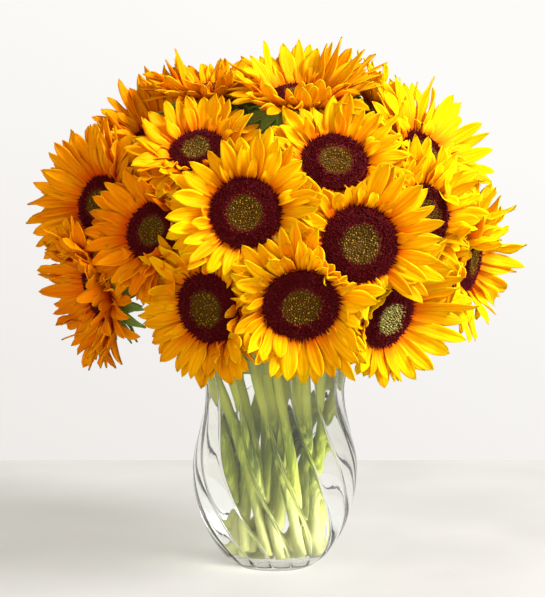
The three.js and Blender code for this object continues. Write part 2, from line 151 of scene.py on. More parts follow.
class GreenSettings(bpy.types.PropertyGroup):
    """Sizes and colours of stems, cups and bracts."""

    stem_radius: length("Stem radius", "Radius of a stem", 0.0036)
    bract_width: length("Bract width", "Width of a bract where it is widest", 0.0150)
    bract_reach: share("Bract reach", "Length of the bracts beside that of the solid ones", 1.2)
    low_bracts: IntProperty(name="Low bracts", description="Bracts low on each cup", default=9, min=0)
    low_length: length("Low length", "Length of the low bracts", 0.022)
    stem: colour("Stem", "Colour of the stems", (0.20, 0.26, 0.008))
    # Pale streaks along the stems, and painted light that brightens the upper stems in the shadow of the
    # heads.
    stem_streak_and_light: colour("Pale stem", "Colour of the pale streaks", (0.62, 0.66, 0.09))
    stem_foot: colour("Stem foot", "Colour of the stems near their feet", (0.60, 0.60, 0.26))
    # Painted shade: some stems, picked at random, are darkened as if they lay away from the light.
    stem_shade: colour("Deep stem", "Colour of the greener stems", (0.07, 0.115, 0.001))
    foot_spread: length("Uneven feet", "How unevenly the stems are cut", 0.012)
    leaf: colour("Leaf", "Colour of the cups and bracts", (0.16, 0.27, 0.03))
    leaf_light: colour("Leaf veins", "Colour of veins and edges", (0.33, 0.47, 0.10))


class VaseSettings(bpy.types.PropertyGroup):
    """Sizes and colours of the glass and the water."""

    height: length("Height", "Height of the vase", 0.195)
    foot: length("Foot", "Radius of the foot", 0.033)
    belly: length("Belly", "Largest radius of the bowl", 0.0698)
    belly_height: length("Belly height", "Height of the widest place", 0.084)
    neck: length("Neck", "Radius at the waist", 0.0586)
    neck_height: length("Neck height", "Height of the waist", 0.150)
    lip: length("Lip", "Radius of the lip", 0.067)
    wall: length("Wall", "Thickness of the wall", 0.003)
    floor: length("Floor", "Thickness of the floor", 0.009)
    ribs: IntProperty(name="Ribs", description="Spiral ribs round the vase", default=16, min=3)
    rib_depth: length("Rib depth", "Height of a rib each way from the mean wall", 0.0009)
    rib_gather: share("Rib gather", "How much of the twist lies near the foot", 1.9)
    base: length("Thick base", "Height of the clear glass under the water", 0.0105)
    rib_twist: angle("Rib twist", "Turn of the ribs from the lip down to the foot", 57)
    water_level: length("Water level", "Height of the water", 0.172)
    glass: colour("Glass", "Tint of the glass", (0.994, 0.996, 0.992))
    water: colour("Water", "Tint of the water", (0.985, 0.992, 0.955))


class StageSettings(bpy.types.PropertyGroup):
    """The camera, the lights and the pale floor."""

    camera_distance: length("Camera distance", "Level distance of the camera from the vase", 1.70)
    camera_height: length("Camera height", "Height of the camera above the floor", 0.385)
    aim_height: length("Aim height", "Height that the camera looks at", 0.2295)
    side: FloatProperty(name="Sideways", description="Place along X", default=-0.0021, unit="LENGTH")
    lens: FloatProperty(name="Lens", description="Focal length in millimetres", default=120.6, min=1.0)
    floor_edge: length("Floor edge", "Where the floor ends behind the vase", 0.517)
    key_power: power("Key light", "Power of the large light at the right", 187.0)
    fill_power: power("Fill light", "Power of the low light in front", 14.0)
    ambient: share("Ambient", "Brightness of the room", 0.6)
    # Painted light: the floor gives off light of its own, which lifts and warms its shadows.
    floor_glow: share("Floor glow", "Evenness of the light on the floor", 0.405)
    floor_glow_colour: colour("Floor warmth", "Colour of the even light on the floor", (0.97, 0.935, 0.825))
    floor: colour("Floor", "Colour of the floor", (0.196, 0.193, 0.190))
    wall: colour("Wall", "Colour of the wall behind", (0.985, 0.97, 0.95))
    wall_shade: colour("Wall shade", "Colour of the wall's darker side", (0.83, 0.80, 0.775))


# ---- Small helpers for modelling ----


def deselect():
    if bpy.context.object and bpy.context.object.mode != "OBJECT":
        bpy.ops.object.mode_set(mode="OBJECT")
    bpy.ops.object.select_all(action="DESELECT")


def only(piece):
    """Selects one object alone and makes it the active one."""
    deselect()
    piece.select_set(True)
    bpy.context.view_layer.objects.active = piece
    return piece


def started(name):
    """Names the primitive that was just added and bakes its place into its mesh."""
    piece = bpy.context.object
    piece.name = name
    piece.data.name = name
    bpy.ops.object.transform_apply(location=True, rotation=True, scale=True)
    return piece


def edit(piece):
    only(piece)
    bpy.ops.object.mode_set(mode="EDIT")
    bpy.ops.mesh.select_mode(type="VERT")


def pick(piece, rule):
    """Selects, in edit mode, the points whose place satisfies a rule."""
    mesh = bmesh.from_edit_mesh(piece.data)
    for vertex in mesh.verts:
        vertex.select = rule(vertex.co)
    mesh.select_flush_mode()
    bmesh.update_edit_mesh(piece.data)


def pick_faces(piece, rule):
    """Selects, in edit mode, the faces that satisfy a rule on middle and normal."""
    bpy.ops.mesh.select_mode(type="FACE")
    mesh = bmesh.from_edit_mesh(piece.data)
    for face in mesh.faces:
        face.select = rule(face.calc_center_median(), face.normal)
    mesh.select_flush_mode()
    bmesh.update_edit_mesh(piece.data)


def finish_edit(smooth=True):
    """Leaves edit mode with the faces pointing out."""
    bpy.ops.mesh.select_all(action="SELECT")
    bpy.ops.mesh.normals_make_consistent(inside=False)
    bpy.ops.object.mode_set(mode="OBJECT")
    if smooth:
        bpy.ops.object.shade_smooth()


def apply_modifier(piece, kind, **values):
    only(piece)
    modifier = piece.modifiers.new(kind.title(), kind)
    for key, value in values.items():
        setattr(modifier, key, value)
    bpy.ops.object.modifier_apply(modifier=modifier.name)


def copied(piece, name):
    """A copy of a modelled shape with a mesh of its own."""
    copy = piece.copy()
    copy.data = piece.data.copy()
    copy.name = name
    bpy.context.scene.collection.objects.link(copy)
    return copy


def points_of(mesh):
    points = np.zeros(len(mesh.vertices) * 3)
    mesh.vertices.foreach_get("co", points)
    return points.reshape(-1, 3)


def move_points(mesh, points):
    mesh.vertices.foreach_set("co", np.asarray(points, dtype=float).ravel())
    mesh.update()


def mark(mesh, name, values):
    """Stores one number for each point, or the same number for all of them."""
    layer = mesh.attributes.get(name) or mesh.attributes.new(name, "FLOAT", "POINT")
    numbers = np.broadcast_to(np.asarray(values, np.float32), len(mesh.vertices))
    layer.data.foreach_set("value", numbers.copy())


def joined(pieces, name):
    """Joins pieces into one."""
    deselect()
    for piece in pieces:
        piece.select_set(True)
    bpy.context.view_layer.objects.active = pieces[0]
    if len(pieces) > 1:
        bpy.ops.object.join()
    whole = pieces[0]
    whole.name = name
    whole.data.name = name
    return whole


def dressed(piece, material, slot, *nodes):
    """Gives a finished piece its material and its body, and hides the nodes that it stands for. The slot is
    not used.
    """
    piece.data.materials.clear()
    piece.data.materials.append(material)
    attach(piece, "root")
    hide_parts(*nodes)
    return piece


def fill_uv(piece, across, along):
    """Gives every corner of a piece the same place on the blade's pattern map."""
    layers = piece.data.uv_layers
    layer = layers[0] if layers else layers.new(name="blade")
    layer.name = "blade"
    layer.data.foreach_set("uv", np.tile((across, along), len(piece.data.loops)))


def turn_body(name, profile, sides):
    """Turns an outline of (radius, height) pairs into a closed body, ring after ring."""
    deselect()
    radius, height = profile[0]
    bpy.ops.mesh.primitive_circle_add(vertices=sides, radius=radius, location=(0, 0, height))
    body = started(name)
    edit(body)
    bpy.ops.mesh.select_all(action="SELECT")
    bpy.ops.mesh.edge_face_add()
    for next_radius, next_height in profile[1:]:
        bpy.ops.mesh.extrude_region_move(
            TRANSFORM_OT_translate={"value": (0, 0, next_height - height)}
        )
        grow = next_radius / radius
        bpy.ops.transform.resize(value=(grow, grow, 1), center_override=(0, 0, next_height))
        radius, height = next_radius, next_height
    finish_edit()
    return body


def smoothstep(low, high, x):
    t = np.clip((x - low) / (high - low), 0, 1)
    return t * t * (3 - 2 * t)


def level_direction(degrees):
    """A level direction: 0 points to -Y and 90 to +X."""
    return Vector((math.sin(math.radians(degrees)), -math.cos(math.radians(degrees)), 0))


# ---- Reading the solids ----

MIDWAY = 0.45  # where a blade's middle point lies along it
TESTED_PARTS = (0.4, 0.55, 0.7, 0.85, 1.0)  # the places along a blade that may not hide a disc
# The room that a blade leaves free at a disc, as shares of the disc's radius.
DISC_NEARBY = 2.6  # points further off than this are not tested
DISC_FRONT = 1.3  # how far the room reaches in front of the disc
DISC_CORE = 0.8  # and how far across
OWN_DISC_CORE = 0.7  # the part of its own disc that a blade of an open head leaves in sight
FACES_FRONT = -0.3  # a head whose facing has a lower Y than this shows its disc in front
SHORTEST_REACH = 0.34  # how short a blade may become, as a share of its line


def shared_points(node):
    """The distinct points of a solid and its triangles over them."""
    mesh = frame["nodes"][node].data
    points, index = np.unique(np.round(points_of(mesh), 6), axis=0, return_inverse=True)
    index = index.ravel()
    faces = [tuple(int(index[i]) for i in face.vertices) for face in mesh.polygons]
    return points, faces


def read_heads():
    return [Head(number) for number in range(1, HEADS + 1)]


class Head:
    """Where one flower head is: its disc's middle, the way it faces and its radius."""

    def __init__(self, number):
        self.number = number
        points, _ = shared_points(f"disc_{number:02d}")
        middle = (points.max(0) + points.min(0)) / 2
        for _ in range(3):
            normal = np.linalg.svd(points - middle)[2][2]
            off_axis = points - middle - np.outer((points - middle) @ normal, normal)
            reach = np.linalg.norm(off_axis, axis=1)
            rim = reach > reach.max() * 0.9
            middle = points[rim].mean(0)
        depth = (points - middle) @ normal
        if depth[~rim].max() < -depth[~rim].min():
            normal, depth = -normal, -depth
        self.facing = Vector(normal)
        self.place = Vector(middle) + self.facing * (depth.min() - DISC_BACK)
        self.radius = float(reach.max())
        right = Vector((0, 0, 1)).cross(self.facing).normalized()
        turn = Matrix((right, self.facing.cross(right), self.facing)).transposed().to_4x4()
        self.frame = Matrix.Translation(self.place) @ turn

    def local(self, points):
        return np.array([self.frame.inverted() @ Vector(p) for p in points])


def blades(points, faces, is_base):
    """The blades of four points that grow from a body: the root, the middle and the tip of each."""
    base = is_base(points)
    near = {i: set() for i in range(len(points))}
    for face in faces:
        for a in face:
            near[a].update(face)
    found, seen = [], set()
    for start in np.flatnonzero(~base):
        if start in seen:
            continue
        group, queue = set(), [int(start)]
        while queue:
            i = queue.pop()
            if i not in group:
                group.add(i)
                queue += [j for j in near[i] if not base[j] and j not in group]
        seen |= group
        tip = [i for i in group if not any(base[j] for j in near[i])]
        if len(group) != 4 or len(tip) != 1:
            continue
        ring = [i for i in group if i != tip[0]]
        corners = sorted({j for i in ring for j in near[i] if base[j]})
        pairs = [(a, b) for a in ring for b in ring if a < b]
        left, right = max(pairs, key=lambda pair: np.linalg.norm(points[pair[0]] - points[pair[1]]))
        middle = (points[left] + points[right]) / 2
        found.append(with_angle({"root": points[corners].mean(0), "middle": middle, "tip": points[tip[0]]}))
    return found


def with_angle(line):
    """Adds to a blade's line the way that it points: 0 is down and 90 right, in its head's own frame."""
    line["angle"] = math.degrees(math.atan2(line["root"][0], -line["root"][1]))
    return line


def between(first, second, part, lift):
    """A blade part of the way from one to its neighbour, a little higher or lower than they are."""
    gap = math.radians((second["angle"] - first["angle"]) % 360)
    shrink = math.hypot(1 - part + part * math.cos(gap), part * math.sin(gap))
    blade = {}
    for key in ("root", "middle", "tip"):
        point = first[key] * (1 - part) + second[key] * part
        point[:2] /= shrink
        blade[key] = point
    reach = np.linalg.norm(blade["tip"][:2] - blade["root"][:2])
    blade["middle"][2] += lift * reach * 0.4
    blade["tip"][2] += lift * reach
    return with_angle(blade)


def with_fillers(row, count, lift):
    """A row of blades, and extra ones spaced between neighbours, above and below them by turns."""
    row = sorted(row, key=lambda line: line["angle"])
    extra = []
    for line, following in zip(row, row[1:] + row[:1]):
        for k in range(count):
            extra.append(between(line, following, (k + 1) / (count + 1), -lift if k % 2 else lift))
    return row + extra


def stretched(line, factor):
    """The line of a blade, longer or shorter from its root."""
    root = line["root"]
    return dict(line, **{key: root + (line[key] - root) * factor for key in ("middle", "tip")})


def drooped(line, fall):
    """The line of a blade with its outer part lower, most at the front of its head."""
    fall *= max(0.0, math.cos(math.radians(line["angle"])))
    lower = np.array((0, 0, fall * np.linalg.norm(line["tip"] - line["root"])))
    return dict(line, middle=line["middle"] - lower * MIDWAY, tip=line["tip"] - lower)


def hides_a_disc(head, line, heads):
    """Whether the outer part of a blade stands in the disc of another head, or before it from the front."""
    stage = bpy.context.scene.sunflower_stage
    eye = Vector((stage.side, -stage.camera_distance, stage.camera_height))
    for part in TESTED_PARTS:
        point = head.frame @ Vector(line["root"] + (line["tip"] - line["root"]) * part)
        for other in heads:
            own = other is head
            if other.number in COVERED_HEADS or (own and head.number not in OPEN_HEADS):
                continue
            if (other.place - point).length > DISC_NEARBY * other.radius:
                continue
            seen = other.frame.inverted() @ point
            in_depth = -CUP_BACK < seen.z < DISC_FRONT * other.radius
            if in_depth and seen.xy.length < DISC_CORE * other.radius and not own:
                return True
            if other.facing.y < FACES_FRONT and (own or head.place.y < other.place.y):
                onward = (point - eye).normalized()
                ahead = (other.place - point).dot(other.facing) / onward.dot(other.facing)
                behind = point + onward * ahead - other.place
                if ahead > 0 and behind.length < other.radius * (OWN_DISC_CORE if own else 1.0):
                    return True
    return False


def fitted(head, line, heads, reach):
    """The longest form of a blade, up to a reach, that leaves its neighbours' discs in sight."""
    for factor in np.linspace(reach, SHORTEST_REACH, 11):
        shorter = stretched(line, factor)
        if not hides_a_disc(head, shorter, heads):
            break
    return shorter


# ---- Petals ----

PETAL_COLUMNS = 6
PETAL_ROWS = 10
# Heads whose petals reach further than the others', as a share of the usual reach.
LONG_PETALS = {1: 1.2, 2: 1.1, 9: 1.05, 10: 1.2, 12: 1.12, 13: 1.2, 20: 1.22, 22: 1.27, 24: 1.15}
# Heads whose petals are longer on one side: its angle, down being 0 and right 90, and the share added there.
LEANING_PETALS = {
    1: (90, 0.12), 5: (180, 0.08), 9: (108, 0.4), 10: (150, 0.2), 12: (90, 0.15),
    20: (215, 0.15), 22: (-90, 0.15), 24: (-90, 0.05),
}
# Heads whose discs their neighbours' petals may cover in part.
COVERED_HEADS = (10, 11, 22, 24, 25)
# How far the front petals of a head droop, as the fall of a tip beside its reach.
DROOPING_PETALS = {1: 0.36}
# Outer heads whose petals are rolled and twisted more.
LOOSE_HEADS = {24: 1.6, 12: 1.5, 20: 1.4, 22: 1.3}
# Heads whose disc stays clear of their own petals, seen from the front, and that have no inner petals.
OPEN_HEADS = (9, 12, 22, 24)
# Heads at the left and top whose front petals stand closer.
FULL_HEADS = (2, 20, 22, 24)
# How much paler and greener the eyes of some younger heads are.
FRESH_HEADS = {9: 1.0, 23: 0.1, 8: 0.1}
# How much painted shade darkens a head's petals towards deep orange: the usual share, and the heads that
# differ, with none at the right where the key light falls and more at the left, away from it.
USUAL_SHADE = 0.23
HEAD_SHADES = {
    9: 0, 10: 0, 11: 0, 12: 0, 13: 0, 14: 0,
    1: 0.4, 2: 0.67, 5: 0.5, 20: 0.76, 22: 0.76, 23: 0.5, 24: 0.94, 25: 0.98,
}


def pointed_outline(along):
    """Half the width of a pointed petal along its length, from 0 to 0.5."""
    rise = 0.52 + 0.48 * math.sin(min(along / 0.45, 1) * math.pi / 2)
    fall = 1 if along < 0.42 else max(0.0, 1 - ((along - 0.42) / 0.58) ** 2.1) ** 0.85
    return 0.5 * rise * fall


def blunt_outline(along):
    """Half the width of a rounder petal, widest past its middle."""
    rise = 0.44 + 0.56 * math.sin(min(along / 0.6, 1) * math.pi / 2)
    fall = 1 if along < 0.55 else max(0.0, 1 - ((along - 0.55) / 0.45) ** 2.4) ** 0.85
    return 0.5 * rise * fall


def free_line(radius, angle_at, size, lift, bend):
    """A blade's line in a head's own frame: out at a lift, and onward at a further bend, in degrees."""
    out = np.array(level_direction(angle_at))

    def heading(degrees):
        slope = math.radians(degrees)
        return out * math.cos(slope) + np.array((0, 0, math.sin(slope)))

    root = out * radius
    middle = root + heading(lift) * size * MIDWAY
    tip = middle + heading(lift + bend) * size * (1 - MIDWAY)
    return {"root": root, "middle": middle, "tip": tip, "angle": angle_at}


def model_blade(name, columns, rows, outline, groove, grooves_at, thickness):
    """A flat blade from (0, 0) to (0, 1): a grid with its rows drawn in to an outline, then given a wall."""
    deselect()
    bpy.ops.mesh.primitive_grid_add(
        x_subdivisions=columns, y_subdivisions=rows, size=1, location=(0, 0.5, 0)
    )
    blade = started(name)
    edit(blade)
    for column in range(columns + 1):
        across = column / columns - 0.5
        pick(blade, lambda co: abs(co.x - across) < 1e-4)
        bpy.ops.transform.translate(value=(0, 0, -groove * grooves_at(abs(across) * 2)))
    for row in range(rows + 1):
        along = row / rows
        pick(blade, lambda co: abs(co.y - along) < 1e-4)
        width = max(outline(along) * 2, 1e-5)
        bpy.ops.transform.resize(value=(width, 1, 1), center_override=(0, along, 0))
    bpy.ops.mesh.select_all(action="SELECT")
    bpy.ops.mesh.remove_doubles(threshold=1e-3)
    finish_edit()
    apply_modifier(blade, "SOLIDIFY", thickness=thickness, offset=0)
    blade.data.uv_layers[0].name = "blade"
    only(blade)
    bpy.ops.object.shade_smooth()
    return blade


def bend_blade(blade, line, width, shape):
    """Bends a flat blade along a line of three points; shape holds its own curl, cup, twist and waves."""
    mesh = blade.data
    flat = points_of(mesh)
    across, along, high = flat[:, 0], flat[:, 1], flat[:, 2]
    root, middle, tip = (np.array(line[key]) for key in ("root", "middle", "tip"))
    steps = np.linspace(0, 1, 33)
    v = steps[:, None]
    path = (
        root * (v - MIDWAY) * (v - 1) / MIDWAY
        + middle * v * (v - 1) / (MIDWAY * (MIDWAY - 1))
        + tip * v * (v - MIDWAY) / (1 - MIDWAY)
    )
    size = np.linalg.norm(tip - root)
    side = np.cross((0, 0, 1), root * (1, 1, 0))
    side /= np.linalg.norm(side)
    up = np.cross(tip - root, side)
    up /= np.linalg.norm(up)
    path += np.outer(shape["curl"] * size * smoothstep(0.35, 1, steps) * steps, up)
    path += np.outer(shape["sway"] * size * steps ** 2, side)
    ahead = np.gradient(path, axis=0)
    ahead /= np.linalg.norm(ahead, axis=1)[:, None]
    sides = side - ahead * (ahead @ side)[:, None]
    sides /= np.linalg.norm(sides, axis=1)[:, None]
    ups = np.cross(sides, ahead)
    if ups[0] @ up < 0:
        ups = -ups
    turn = shape["roll"] + shape["twist"] * steps ** 1.5
    cos, sin = np.cos(turn)[:, None], np.sin(turn)[:, None]
    sides, ups = sides * cos + ups * sin, ups * cos - sides * sin

    def at(table):
        return np.stack([np.interp(along, steps, table[:, k]) for k in range(3)], axis=1)

    outline = np.interp(along, steps, [shape["outline"](s) * 2 for s in steps])
    from_middle = np.abs(across) * 2 / np.maximum(outline, 1e-3)
    fold = shape["cup"] * (1 - 0.55 * along) + shape["fold"] * along
    rise = fold * np.abs(across) * 1.6 * from_middle
    wave = shape["ruffle"] * outline * from_middle ** 2
    rise += wave * np.sin(along * shape["waves"] * math.tau + shape["phase"] + np.sign(across) * 1.3)
    points = at(path) + at(sides) * (across * width)[:, None] + at(ups) * ((high + rise) * width)[:, None]
    move_points(mesh, points)


def petal_shape(settings, draw, outline, loose):
    """The curl, cup, twist and waves of one petal; loose ones are folded and rolled more."""
    return {
        "outline": outline,
        "curl": settings.curl * draw.uniform(-1, 1) * loose,
        "sway": 0.09 * draw.uniform(-1, 1) * loose,
        "roll": 0.22 * draw.uniform(-1, 1) * loose,
        "twist": settings.twist * draw.gauss(0, 0.6) * loose,
        "cup": settings.cup * draw.uniform(0.2, 1.8),
        "fold": settings.cup * draw.uniform(-0.8, 2.0) * loose,
        "ruffle": settings.ruffle * draw.uniform(0.3, 1.3) * loose,
        "waves": draw.uniform(0.8, 2.0),
        "phase": draw.uniform(0, math.tau),
    }


def petal_lines(head, settings, draw):
    """Every petal of a head: its line, its reach, how loosely it lies and its share of the usual width."""
    def is_pad(p):
        reach = np.hypot(p[:, 0], p[:, 1])
        return (reach < head.radius + PAD_RIM) & (p[:, 2] < SLACK) & (p[:, 2] > -PAD_BACK - SLACK)

    number = head.number
    points, faces = shared_points(f"petals_{number:02d}")
    lines = blades(head.local(points), faces, is_pad)
    front = [line for line in lines if line["root"][2] > -PAD_BACK / 2]
    back = [line for line in lines if line["root"][2] <= -PAD_BACK / 2]
    toward, lean = LEANING_PETALS.get(number, (0, 0))
    grown = []
    for row, fillers, lift in ((front, 2 if number in FULL_HEADS else 1, 0.12), (back, 2, -0.1)):
        for line in with_fillers(row, fillers, lift):
            reach = settings.reach * draw.uniform(0.86, 1.08) * LONG_PETALS.get(number, 1)
            reach *= 1 + lean * math.cos(math.radians(line["angle"] - toward))
            root = np.array(line["root"])
            root[:2] *= (head.radius - 1.0 * MM) / np.hypot(*root[:2])
            line = drooped(dict(line, root=root), DROOPING_PETALS.get(number, 0.0))
            grown.append((line, reach, LOOSE_HEADS.get(number, 1.0), 1.0))
    for i in range(0 if number in OPEN_HEADS else settings.inner):
        size = settings.inner_length * draw.uniform(0.7, 1.3)
        line = free_line(
            head.radius - 0.8 * MM, i * 360 / settings.inner + draw.uniform(-18, 18), size,
            draw.uniform(24, 60), draw.uniform(-70, 25),
        )
        grown.append((line, 1.0, 1.5, 0.8))
    return grown


def model_petals(settings):
    """Petals head by head: two modelled blades, copied and bent along and between the solid petals."""
    def three_lobes(x):
        return 0.5 - 0.5 * math.cos(x * 3 * math.pi)

    outlines = (pointed_outline, blunt_outline)
    sizes = (settings.groove, three_lobes, settings.thickness)
    patterns = {
        outline: model_blade("petal", PETAL_COLUMNS, PETAL_ROWS, outline, *sizes) for outline in outlines
    }
    material = petal_material(settings)
    heads = read_heads()
    for head in heads:
        draw = random.Random(head.number * 7 + 3)
        parts = [model_pad(head)]
        for line, reach, loose, broad in petal_lines(head, settings, draw):
            line = fitted(head, line, heads, reach)
            outline = draw.choice(outlines)
            width = settings.width * draw.uniform(0.84, 1.16) * broad
            blade = copied(patterns[outline], "blade")
            bend_blade(blade, line, width, petal_shape(settings, draw, outline, loose))
            mark(blade.data, "tint", draw.random())
            parts.append(blade)
        node = f"petals_{head.number:02d}"
        whole = joined(parts[::-1], node + "_blades")
        # Painted shade on the heads away from the key light, most at the left.
        mark(whole.data, "deeper", HEAD_SHADES.get(head.number, USUAL_SHADE))
        whole.data.transform(head.frame)
        dressed(whole, material, "petal", node)
    for pattern in patterns.values():
        bpy.data.objects.remove(pattern)


def model_pad(head):
    """The fleshy pad behind the florets, which the petals grow from."""
    deselect()
    bpy.ops.mesh.primitive_cylinder_add(
        vertices=36, radius=head.radius, depth=PAD_BACK, location=(0, 0, -PAD_BACK / 2)
    )
    pad = started("pad")
    apply_modifier(pad, "BEVEL", width=1.4 * MM, segments=2)
    bpy.ops.object.shade_smooth()
    fill_uv(pad, 0.5, 0.0)
    mark(pad.data, "tint", 0.3)
    return pad


# ---- Discs ----

EYE_REACHES = (0.50, 0.54, 0.47)  # how far the eye reaches in each modelled disc
RING_ZONE = (-0.05, 0.07)  # and where the ring round it starts and ends, measured from that
FRINGE_FROM = 0.93  # where the narrow florets of the rim start
FLORET_STEP = math.pi * (3 - math.sqrt(5))  # the turn from one floret to the next


def model_floret(name, radius, height, flare, heart):
    """One floret: a five-sided tube that flares or closes, with a small heart in its mouth."""
    deselect()
    bpy.ops.mesh.primitive_cylinder_add(
        vertices=5, radius=radius * 0.8, depth=height * 0.7, location=(0, 0, height * 0.35)
    )
    floret = started(name)
    edit(floret)
    pick_faces(floret, lambda middle, normal: normal.z > 0.9)
    bpy.ops.mesh.extrude_region_move(TRANSFORM_OT_translate={"value": (0, 0, height * 0.3)})
    bpy.ops.transform.resize(value=(flare, flare, 1), center_override=(0, 0, height))
    bpy.ops.mesh.inset(thickness=radius * 0.35)
    bpy.ops.transform.translate(value=(0, 0, heart * height))
    finish_edit(smooth=False)
    points = points_of(floret.data)
    mark(floret.data, "height", points[:, 2] / height)
    return floret


def model_disc_pattern(settings, index, eye):
    """A whole disc of radius 1: a low dome covered in florets set out in the spirals of a real one."""
    draw = random.Random(40 + index)
    count = settings.florets
    spacing = math.sqrt(math.pi / count)
    kinds = {
        "open": model_floret("open", spacing * 0.52, 0.12, 1.35, -0.2),
        "ring": model_floret("ring", spacing * 0.46, 0.15, 0.8, 0.12),
        "bud": model_floret("bud", spacing * 0.5, 0.1, 0.7, 0.1),
        "fringe": model_floret("fringe", spacing * 0.42, 0.16, 0.35, 0.3),
    }
    deselect()
    bpy.ops.mesh.primitive_cylinder_add(vertices=48, radius=0.985, depth=0.1, location=(0, 0, 0.06))
    dome = started("dome")
    edit(dome)
    for lift in (0.035, 0.03, 0.012, -0.02, -0.03):
        pick_faces(dome, lambda middle, normal: normal.z > 0.9 and middle.xy.length < 0.2)
        bpy.ops.mesh.inset(thickness=0.15)
        bpy.ops.transform.translate(value=(0, 0, lift))
    finish_edit()
    mark(dome.data, "height", 0.0)
    reach = np.hypot(*points_of(dome.data)[:, :2].T)
    mark(dome.data, "reach", reach)
    mark(dome.data, "tint", 0.5)
    parts = [dome]
    for i in range(count):
        out = math.sqrt((i + 0.5) / count) + spacing * draw.uniform(-0.35, 0.35)
        turn = i * FLORET_STEP + spacing * draw.uniform(-0.4, 0.4) / max(out, 0.1)
        crown = 0.165 - 0.12 * max(0.0, (out - 0.55) / 0.45) ** 2 - 0.05 * max(0.0, 1 - out / 0.5) ** 2
        if out < eye + RING_ZONE[0]:
            kind = "bud"
        elif out < eye + RING_ZONE[1]:
            kind = "ring" if draw.random() < 0.6 else "bud"
        elif out < FRINGE_FROM:
            kind = "open"
        else:
            kind = "fringe"
        copy = copied(kinds[kind], "floret")
        lean = 0.1 + 0.55 * out ** 3 if kind != "bud" else -0.35 * (1 - out / eye)
        lean += draw.uniform(-0.16, 0.16)
        size = draw.uniform(0.85, 1.15 if kind == "bud" else 1.2)
        if kind == "bud":
            size *= 0.75 + 0.25 * min(1, out / eye)
        place = Matrix.Translation((out * math.cos(turn), out * math.sin(turn), crown - 0.05))
        pose = Matrix.Rotation(turn, 4, "Z") @ Matrix.Rotation(lean, 4, "Y")
        spin = Matrix.Rotation(draw.uniform(0, math.tau), 4, "Z")
        copy.data.transform(place @ pose @ spin @ Matrix.Scale(size, 4))
        mark(copy.data, "reach", out)
        mark(copy.data, "tint", draw.random())
        parts.append(copy)
    whole = joined(parts, f"disc_pattern_{index}")
    for kind in kinds.values():
        bpy.data.objects.remove(kind)
    return whole


def model_discs(settings):
    """Three modelled discs, each copied to its heads at their size, turned so that none looks alike."""
    patterns = [model_disc_pattern(settings, i, eye) for i, eye in enumerate(EYE_REACHES)]
    material = disc_material(settings)
    for head in read_heads():
        number = head.number
        node = f"disc_{number:02d}"
        disc = copied(patterns[number % len(patterns)], node + "_florets")
        disc.data.name = disc.name
        turned = Matrix.Rotation(number * 1.7, 4, "Z") @ Matrix.Scale(head.radius, 4)
        disc.data.transform(head.frame @ turned)
        mark(disc.data, "fresh", FRESH_HEADS.get(number, 0.0))
        dressed(disc, material, "disc", node)
    for pattern in patterns:
        bpy.data.objects.remove(pattern)


# ---- Stems, cups and bracts ----

BUNCH_NECK_RADIUS = 36 * MM  # from the vase's axis to the middle of a group of stems, at the neck
BUNCH_FOOT_RADIUS = 27 * MM  # and at the feet
GROUP_NECK_SPREAD = 9 * MM  # from a group's middle to each of its stems, at the neck
GROUP_FOOT_SPREAD = 4.2 * MM  # and at the feet
STEM_SPIRAL = 60  # degrees that the bunch turns between its neck and its feet
STEM_BOW = 0.36  # length of the handles of a stem's bow, as a share of its run above the neck
STEM_RISE = 80 * MM  # least length of the handle at the neck
FIRST_GROUP_TURN = -5  # degrees from the front to the first outer group
STEM_TURNS = {3: (180, -60, 60), 4: (180, -75, 75, 0)}  # round a group's middle, by how many it has
MIDDLE_STEM_TURNS = (28, -100, 165)
STEM_SIDES = 12
# Heights in a head's own frame.
CUP_TOP = -3.9 * MM
CUP_BOTTOM = -14 * MM
LOW_BRACTS_AT = -7.4 * MM
# A bract of the solids belongs to a cup when it starts this near its rim, and this near its plane.
CUP_NEARBY = 4 * MM
CUP_DEPTH = 12 * MM
CUP_SIDES = 32
# The rings of a cup, from its back: the share of the disc's radius, and the height in millimetres.
CUP_RINGS = ((0.30, -12.4), (0.52, -11.0), (0.66, -9.4), (0.86, -8.0), (0.99, -6.2), (1.02, -4.3))


def stem_ends(group, member):
    """Where a stem stands on the vase's floor and where it passes the neck."""
    vase = bpy.context.scene.sunflower_vase
    outer_groups = len(STEMS_IN_NODE) - 1
    group_turn = FIRST_GROUP_TURN + (group - 1) * 360 / outer_groups
    if group == 0:
        reach, member_turn = 0, MIDDLE_STEM_TURNS[member]
    else:
        reach, member_turn = 1, group_turn + STEM_TURNS[STEMS_IN_NODE[group]][member]

    def point(radius, spread, turn, height):
        level = level_direction(group_turn + turn) * radius * reach
        level += level_direction(member_turn + turn) * spread
        return Vector((level.x, level.y, height))

    foot = point(BUNCH_FOOT_RADIUS, GROUP_FOOT_SPREAD, STEM_SPIRAL, vase.floor + 0.3 * MM)
    neck = point(BUNCH_NECK_RADIUS, GROUP_NECK_SPREAD, 0, vase.neck_height)
    return foot, neck


def stem_route(group, member, head):
    """A stem's line: straight in the vase, then one bow to the back of its head."""
    foot, neck = stem_ends(group, member)
    end = head.place - head.facing * (CUP_BACK - 3 * MM)
    pull = (end - neck).length * STEM_BOW
    ahead = (neck - foot).normalized()
    handles = (neck, neck + ahead * max(pull, STEM_RISE), end - head.facing * pull, end)
    uneven = bpy.context.scene.sunflower_greens.foot_spread / (neck.z - foot.z)
    start = uneven * random.Random(head.number).random()
    route = [foot.lerp(neck, start + (1 - start) * i / 7) for i in range(7)]
    for i in range(13):
        t = i / 12
        weights = ((1 - t) ** 3, 3 * t * (1 - t) ** 2, 3 * t * t * (1 - t), t ** 3)
        route.append(sum((handle * weight for handle, weight in zip(handles, weights)), Vector()))
    return route


